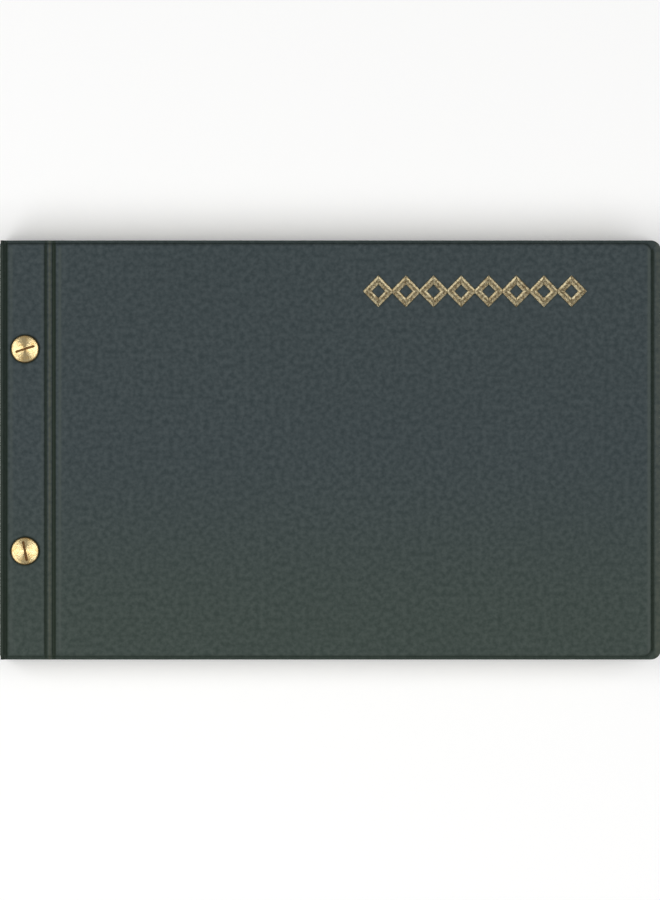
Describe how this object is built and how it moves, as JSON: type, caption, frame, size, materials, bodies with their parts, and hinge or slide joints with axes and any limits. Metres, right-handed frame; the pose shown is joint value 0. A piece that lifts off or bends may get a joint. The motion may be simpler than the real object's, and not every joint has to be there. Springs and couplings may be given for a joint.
{
  "type": "pilot logbook",
  "caption": "Landscape loose-leaf pilot logbook: leaves clamped by slotted brass screw posts in a wrap-round dark vinyl cover that folds at grooved hinges.",
  "frame": {"origin": "under the middle of the closed book, on the surface that it lies on", "axes": "+X from the spine to the fore edge, +Y up the page, +Z from the back cover to the front cover"},
  "size_m": [0.2286, 0.145, 0.0166],
  "materials": {
    "cover_vinyl": "dark slate vinyl with a fine leather-like grain",
    "liner_vinyl": "plain fine-grained vinyl lining",
    "greyboard": "raw greyboard, hidden in the welded pockets",
    "leaf_paper": "uncoated pale ledger paper",
    "brass": "lathe-turned brass, lacquered",
    "gold_foil": "hot-stamped gold foil, a little worn"
  },
  "bodies": {
    "binding": {"front_strip_skin": "cover_vinyl", "front_strip_board": "greyboard", "front_strip_liner": "liner_vinyl", "spine_skin": "cover_vinyl", "spine_board": "greyboard", "spine_liner": "liner_vinyl", "back_strip_skin": "cover_vinyl", "back_strip_board": "greyboard", "back_strip_liner": "liner_vinyl", "leaf_margin_01": "leaf_paper", "leaf_margin_02": "leaf_paper", "leaf_margin_03": "leaf_paper", "leaf_margin_04": "leaf_paper", "leaf_margin_05": "leaf_paper", "leaf_margin_06": "leaf_paper", "leaf_margin_07": "leaf_paper", "leaf_margin_08": "leaf_paper", "leaf_margin_09": "leaf_paper", "leaf_margin_10": "leaf_paper", "binding_post_upper": "brass", "binding_post_lower": "brass"},
    "front_rib": {"front_hinge_rib": "cover_vinyl"},
    "front_cover": {"front_cover_skin": "cover_vinyl", "front_cover_board": "greyboard", "front_cover_liner": "liner_vinyl", "title_foil": "gold_foil"},
    "back_rib": {"back_hinge_rib": "cover_vinyl"},
    "back_cover": {"back_cover_skin": "cover_vinyl", "back_cover_board": "greyboard", "back_cover_liner": "liner_vinyl"},
    "leaves_01": {"leaves_01": "leaf_paper"},
    "leaves_02": {"leaves_02": "leaf_paper"},
    "leaves_03": {"leaves_03": "leaf_paper"},
    "leaves_04": {"leaves_04": "leaf_paper"},
    "leaves_05": {"leaves_05": "leaf_paper"},
    "leaves_06": {"leaves_06": "leaf_paper"},
    "leaves_07": {"leaves_07": "leaf_paper"},
    "leaves_08": {"leaves_08": "leaf_paper"},
    "leaves_09": {"leaves_09": "leaf_paper"},
    "leaves_10": {"leaves_10": "leaf_paper"},
    "screw_upper": {"binding_screw_upper": "brass"},
    "screw_lower": {"binding_screw_lower": "brass"}
  },
  "joints": [
    {"name": "front_cover_turn", "type": "hinge", "parent": "binding", "child": "front_cover", "pos_m": [-0.0971, 0, 0.01642], "axis": [0, -1, 0], "range_deg": [0, 180]},
    {"name": "front_rib_fold", "type": "hinge", "parent": "binding", "child": "front_rib", "pos_m": [-0.09845, 0, 0.01507], "axis": [0, -1, 0], "range_deg": [0, 90]},
    {"name": "back_cover_turn", "type": "hinge", "parent": "binding", "child": "back_cover", "pos_m": [-0.0971, 0, 0.00022], "axis": [0, 1, 0], "range_deg": [0, 180]},
    {"name": "back_rib_fold", "type": "hinge", "parent": "binding", "child": "back_rib", "pos_m": [-0.09845, 0, 0.00157], "axis": [0, 1, 0], "range_deg": [0, 90]},
    {"name": "leaves_01_turn", "type": "hinge", "parent": "binding", "child": "leaves_01", "pos_m": [-0.0971, 0, 0.01642], "axis": [0, -1, 0], "range_deg": [0, 179]},
    {"name": "leaves_02_turn", "type": "hinge", "parent": "binding", "child": "leaves_02", "pos_m": [-0.0971, 0, 0.01642], "axis": [0, -1, 0], "range_deg": [0, 178]},
    {"name": "leaves_03_turn", "type": "hinge", "parent": "binding", "child": "leaves_03", "pos_m": [-0.0971, 0, 0.01642], "axis": [0, -1, 0], "range_deg": [0, 177]},
    {"name": "leaves_04_turn", "type": "hinge", "parent": "binding", "child": "leaves_04", "pos_m": [-0.0971, 0, 0.01642], "axis": [0, -1, 0], "range_deg": [0, 176]},
    {"name": "leaves_05_turn", "type": "hinge", "parent": "binding", "child": "leaves_05", "pos_m": [-0.0968, 0, 0.00893], "axis": [0, -1, 0], "range_deg": [0, 4.5]},
    {"name": "leaves_06_turn", "type": "hinge", "parent": "binding", "child": "leaves_06", "pos_m": [-0.0968, 0, 0.00777], "axis": [0, -1, 0], "range_deg": [0, 2.25]},
    {"name": "leaves_07_turn", "type": "hinge", "parent": "binding", "child": "leaves_07", "pos_m": [-0.0971, 0, 0.00022], "axis": [0, 1, 0], "range_deg": [0, 176]},
    {"name": "leaves_08_turn", "type": "hinge", "parent": "binding", "child": "leaves_08", "pos_m": [-0.0971, 0, 0.00022], "axis": [0, 1, 0], "range_deg": [0, 177]},
    {"name": "leaves_09_turn", "type": "hinge", "parent": "binding", "child": "leaves_09", "pos_m": [-0.0971, 0, 0.00022], "axis": [0, 1, 0], "range_deg": [0, 178]},
    {"name": "leaves_10_turn", "type": "hinge", "parent": "binding", "child": "leaves_10", "pos_m": [-0.0971, 0, 0.00022], "axis": [0, 1, 0], "range_deg": [0, 179]},
    {"name": "binding_screw_upper_turn", "type": "hinge", "parent": "binding", "child": "screw_upper", "pos_m": [-0.1056, 0.03492, 0.01592], "axis": [0, 0, 1], "continuous": true},
    {"name": "binding_screw_lower_turn", "type": "hinge", "parent": "binding", "child": "screw_lower", "pos_m": [-0.1056, -0.03492, 0.01592], "axis": [0, 0, 1], "continuous": true}
  ],
  "couplings": [
    {"joint": "front_rib_fold", "follows": "front_cover_turn", "ratio": 0.5},
    {"joint": "back_rib_fold", "follows": "back_cover_turn", "ratio": 0.5},
    {"joint": "leaves_01_turn", "follows": "front_cover_turn", "ratio": 0.99444},
    {"joint": "leaves_02_turn", "follows": "front_cover_turn", "ratio": 0.98888},
    {"joint": "leaves_03_turn", "follows": "front_cover_turn", "ratio": 0.98333},
    {"joint": "leaves_04_turn", "follows": "front_cover_turn", "ratio": 0.97777},
    {"joint": "leaves_05_turn", "follows": "front_cover_turn", "ratio": 0.02499},
    {"joint": "leaves_06_turn", "follows": "front_cover_turn", "ratio": 0.0125},
    {"joint": "leaves_07_turn", "follows": "back_cover_turn", "ratio": 0.97777},
    {"joint": "leaves_08_turn", "follows": "back_cover_turn", "ratio": 0.98333},
    {"joint": "leaves_09_turn", "follows": "back_cover_turn", "ratio": 0.98888},
    {"joint": "leaves_10_turn", "follows": "back_cover_turn", "ratio": 0.99444}
  ]
}
